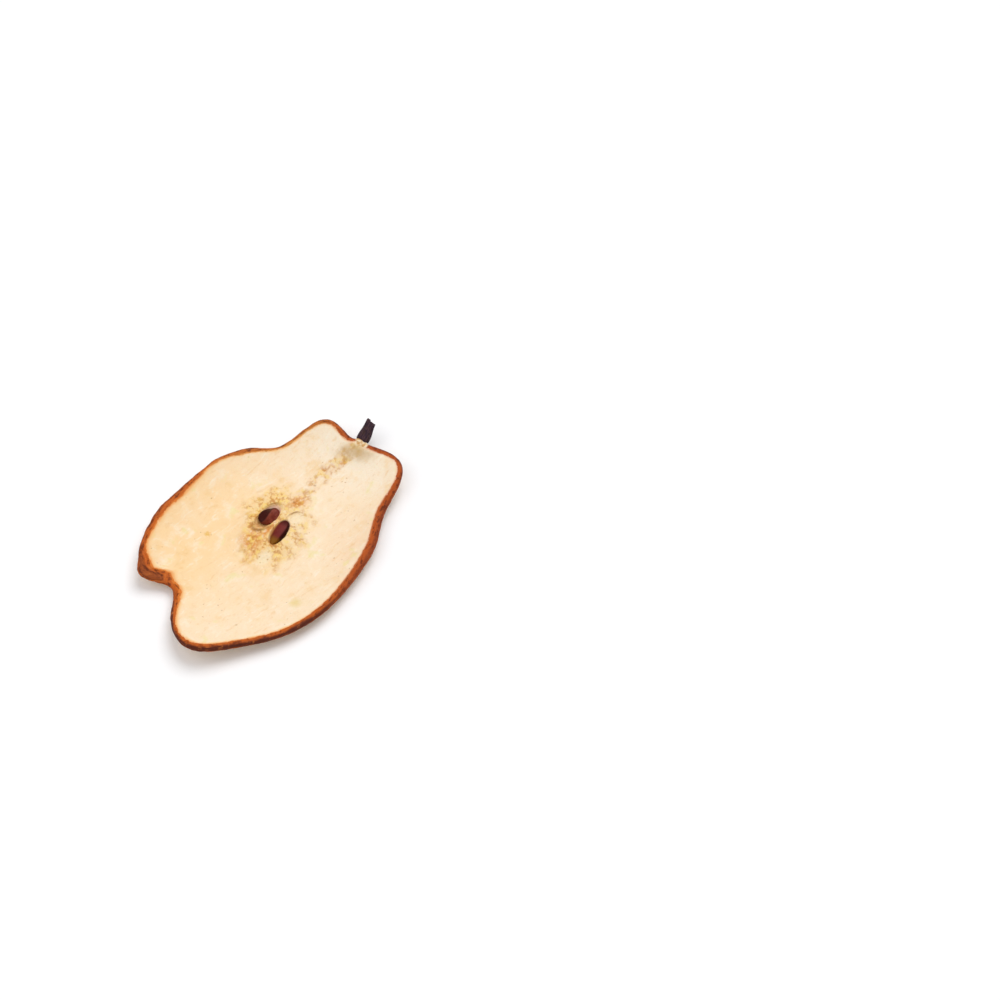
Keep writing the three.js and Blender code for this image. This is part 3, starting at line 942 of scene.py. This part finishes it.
def peel_colour(r, depth, to_right):
    """Peel that turns from orange at its border to brown, redder on the right and golden beyond the core,
    with painted shade on the walls towards the camera.
    """
    right, away = reach_along(r, VIEW_RIGHT), reach_along(r, VIEW_AWAY)
    to_far = r.all_of(r.ease(away, 8, 30), r.ease(right, 17, 10))
    # painted shade on the peel's walls towards the camera
    near_shade = r.ease(away, -20, -32)
    rim = r.vector("ADD", r.attribute("rim"), r.stretched(r.place, (0, 0, 0.9)))
    streaks = r.noise(r.stretched(rim, (0.5, 0.5, 1.6)), 1, detail=4, roughness=0.7)
    patches = r.noise(r.stretched(rim, (0.22, 0.22, 0.6)), 1, detail=3, roughness=0.6)
    uneven = r.calc("ADD", depth, r.calc("MULTIPLY", r.calc("SUBTRACT", patches, 0.5), 1.4))
    shoulder = r.all_of(r.ease(right, 10, 20), r.ease(away, 6, 20))
    # more of the outer colour on the right shoulder, and painted shade towards the camera
    uneven = r.calc("ADD", uneven, r.calc("MULTIPLY", r.most_of(near_shade, shoulder), 0.5))
    uneven = r.calc("SUBTRACT", uneven, r.calc("MULTIPLY", r.around("calyx notch"), 0.5))

    border = r.mix(seen(226, 128, 52), seen(194, 108, 58), to_right)
    border = r.mix(border, seen(218, 146, 70), to_far)
    brown = r.mix(seen(200, 98, 32), seen(184, 84, 28), to_right)
    brown = r.mix(brown, seen(192, 110, 46), to_far)
    outer = r.mix(seen(158, 78, 32), seen(142, 62, 26), to_right)
    # the painted shade's colour on the outer walls towards the camera
    outer = r.mix(r.mix(outer, seen(160, 92, 46), to_far), seen(96, 42, 26), near_shade)
    colour = r.mix(border, brown, r.ease(uneven, 0.0, 0.5))
    colour = r.mix(colour, outer, r.ease(uneven, 0.9, 1.7))
    darkest = r.all_of(r.ease(streaks, 0.5, 0.62), r.ease(depth, 0.1, 0.5), 0.75)
    colour = r.mix(colour, seen(88, 34, 16), darkest)
    lighter = r.mix(seen(212, 122, 54), seen(190, 98, 48), to_right)
    return r.mix(colour, lighter, r.all_of(r.ease(streaks, 0.44, 0.32), r.ease(depth, 0.0, 0.4), 0.6))


def glow_colour(r, flesh, depth, to_right):
    """The flesh stained by the peel beside it: furthest and orange at the left, browner on the right."""
    blotches = r.noise(r.place, 2.0, detail=3)
    closer = r.calc("MULTIPLY", depth, r.calc("SUBTRACT", 1.9, r.ease(reach_along(r, VIEW_RIGHT), -12, -24)))
    far_stain = r.mix(seen(249, 206, 148), seen(250, 214, 180), to_right)
    near_stain = r.mix(seen(243, 166, 94), seen(222, 158, 122), to_right)
    colour = r.mix(flesh, far_stain, r.all_of(r.ease(closer, -1.5, -0.5), r.ease(blotches, 0.2, 0.6), 0.85))
    return r.mix(colour, near_stain, r.all_of(r.ease(closer, -0.7, -0.05), r.ease(blotches, 0.15, 0.5), 0.8))


def slice_material():
    r = Recipe("dried_pear_flesh", roughness=0.65, specular=0.12, subsurface=0.06)
    _, _, depth = r.parts(r.attribute("rim"))
    _, _, torn = r.parts(r.attribute("marks_and_shade"))
    flesh = carpel_colour(r, core_colour(r, flesh_colour(r)))
    to_right = r.ease(reach_along(r, VIEW_RIGHT), 4, 24)
    colour = glow_colour(r, flesh, depth, to_right)
    frayed = r.calc("SUBTRACT", r.noise(r.place, 1.6, detail=5, roughness=0.7), 0.5)
    border = r.calc("ADD", depth, r.calc("MULTIPLY", frayed, 1.5))
    is_peel = r.ease(border, -0.1, 0.12)
    colour = r.mix(colour, peel_colour(r, depth, to_right), is_peel)
    fibres = r.ease(r.noise(r.place, 1.2, detail=3), 0.46, 0.66)
    pale = r.mix(seen(248, 226, 190), seen(216, 168, 106), fibres)
    colour = r.mix(colour, pale, r.ease(torn, 0.15, 0.75))

    grain = r.noise(r.place, 0.5, detail=4, roughness=0.6)
    rim_lines = r.noise(r.stretched(r.attribute("rim"), (0.5, 0.5, 5.0)), 1, detail=3)
    normal = r.bump(grain, 0.1, strength=0.7)
    normal = r.bump(r.all_of(rim_lines, is_peel), 0.16, strength=0.8, under=normal)
    roughness = r.calc("ADD", 0.65, r.calc("MULTIPLY", r.calc("SUBTRACT", grain, 0.5), 0.3))
    roughness = r.calc("SUBTRACT", roughness, r.calc("MULTIPLY", is_peel, 0.1))
    return r.finish(colour, roughness, normal)


def seed_material(name, face, olive):
    """Glossy red-brown seed coat, with shade painted on one side, darker at the back, and its lit side's
    colour elsewhere. It may be tan and olive in places.
    """
    r = Recipe(name, roughness=0.3, specular=0.07)
    own = r.attribute("own")
    along, across, _ = r.parts(own)
    painted_shade, _, _ = r.parts(r.attribute("painted_shade"))
    lines = r.noise(r.stretched(own, (0.25, 3.0, 3.0)), 1, detail=3)
    clouds = r.noise(own, 1.8, detail=2)
    # the coat's colour on its lit side, clouded darker
    colour = r.mix(seen(*face), seen(100, 32, 24), r.all_of(r.ease(clouds, 0.42, 0.66), 0.7))
    colour = r.mix(colour, seen(186, 108, 80), r.all_of(r.ease(lines, 0.54, 0.75), 1 - olive, 0.5))
    back = r.all_of(r.ease(along, -1.4, -3.2), 0.7)
    # painted shade on the side of the coat turned from the light, and the darker back end
    colour = r.mix(colour, seen(46, 10, 8), r.all_of(r.most_of(painted_shade, back), 0.9))
    strip = r.all_of(r.ease(across, -0.9, -1.6), r.ease(along, -3.6, -2.0))
    colour = r.mix(colour, seen(188, 122, 68), r.all_of(strip, olive, 0.75))
    colour = r.mix(colour, seen(140, 92, 22), r.all_of(r.ease(along, 1.2, 3.0), olive, 0.85))
    roughness = r.calc("ADD", 0.26, r.calc("MULTIPLY", lines, 0.16))
    return r.finish(colour, roughness, r.bump(lines, 0.03, strength=0.6))


def stem_material():
    r = Recipe("dried_stem_bark", roughness=0.75, specular=0.22)
    own = r.attribute("own")
    fibres = r.noise(r.stretched(own, (0.5, 2.8, 2.8)), 1, detail=4, roughness=0.6)
    patches = r.noise(own, 1.4, detail=2)
    colour = r.mix(seen(42, 24, 38), seen(92, 62, 66), r.ease(fibres, 0.42, 0.68))
    colour = r.mix(colour, seen(66, 42, 34), r.all_of(r.ease(patches, 0.5, 0.7), 0.6))
    return r.finish(colour, None, r.bump(fibres, 0.2, strength=0.9))


# ------------------------------------------------------------------------------ the floor, light and camera

CAMERA_TARGET = CORE_AT + (47.87, -36.689, 0)  # the place on the table in the middle of the picture
CAMERA_DISTANCE = 628.286
CAMERA_ELEVATION = 53
CAMERA_AZIMUTH = -46.8
CAMERA_LENS = 85

SKY_STRENGTH = 0.4
SUNS = {  # strength, width, azimuth from the camera's, elevation
    "key": (1.7, 45, 140, 60),
    "fill": (0.9, 60, -60, 60),
}
TABLE_SIZE = 4
TABLE_COLOUR = (0.93, 0.93, 0.94)


def add_floor():
    bpy.ops.mesh.primitive_plane_add(size=TABLE_SIZE)
    floor = bpy.context.object
    floor.name = "white_table"
    r = Recipe("white_card", roughness=0.9, specular=0.1)
    floor.data.materials.append(r.finish(TABLE_COLOUR))


def add_sun(name, strength, width, azimuth, elevation):
    """A broad soft light from a direction, azimuth seen from above in the camera's sense."""
    data = bpy.data.lights.new(name, "SUN")
    data.energy = strength
    data.angle = math.radians(width)
    lamp = bpy.data.objects.new(name, data)
    lamp.rotation_euler = (math.radians(90 - elevation), 0, math.radians(azimuth))
    bpy.context.collection.objects.link(lamp)


def light_scene():
    world = bpy.data.worlds.new("studio")
    world.use_nodes = True
    background = world.node_tree.nodes["Background"]
    background.inputs["Color"].default_value = (1, 1, 1, 1)
    background.inputs["Strength"].default_value = SKY_STRENGTH
    bpy.context.scene.world = world
    for name, (strength, width, azimuth, elevation) in SUNS.items():
        add_sun(name, strength, width, CAMERA_AZIMUTH + azimuth, elevation)
    bpy.context.scene.view_settings.view_transform = "Standard"


def add_camera():
    azimuth, elevation = math.radians(CAMERA_AZIMUTH), math.radians(CAMERA_ELEVATION)
    back = Vector((
        math.sin(azimuth) * math.cos(elevation),
        -math.cos(azimuth) * math.cos(elevation),
        math.sin(elevation),
    ))
    data = bpy.data.cameras.new("camera")
    data.lens = CAMERA_LENS
    camera = bpy.data.objects.new("camera", data)
    camera.location = (Vector(CAMERA_TARGET) + CAMERA_DISTANCE * back) * MM
    camera.rotation_euler = (math.radians(90 - CAMERA_ELEVATION), 0, azimuth)
    bpy.context.collection.objects.link(camera)
    bpy.context.scene.camera = camera


# ------------------------------------------------------------------------------------------------ the whole


def place_piece(piece, material, slot, *nodes):
    piece.data.materials.append(material)
    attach(piece, "root")
    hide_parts(*nodes)


place_piece(make_slice(), slice_material(), "flesh", "pear_slice")
for name, seed in SEEDS.items():
    coat = SEED_COATS[name]
    material = seed_material(f"{name}_coat", coat["face"], coat["olive"])
    place_piece(make_seed(f"dried_{name}", **seed, painted_shade=coat["painted_shade"]), material, "seed", name)
place_piece(make_stem(), stem_material(), "stem", "stem")

add_floor()
light_scene()
add_camera()
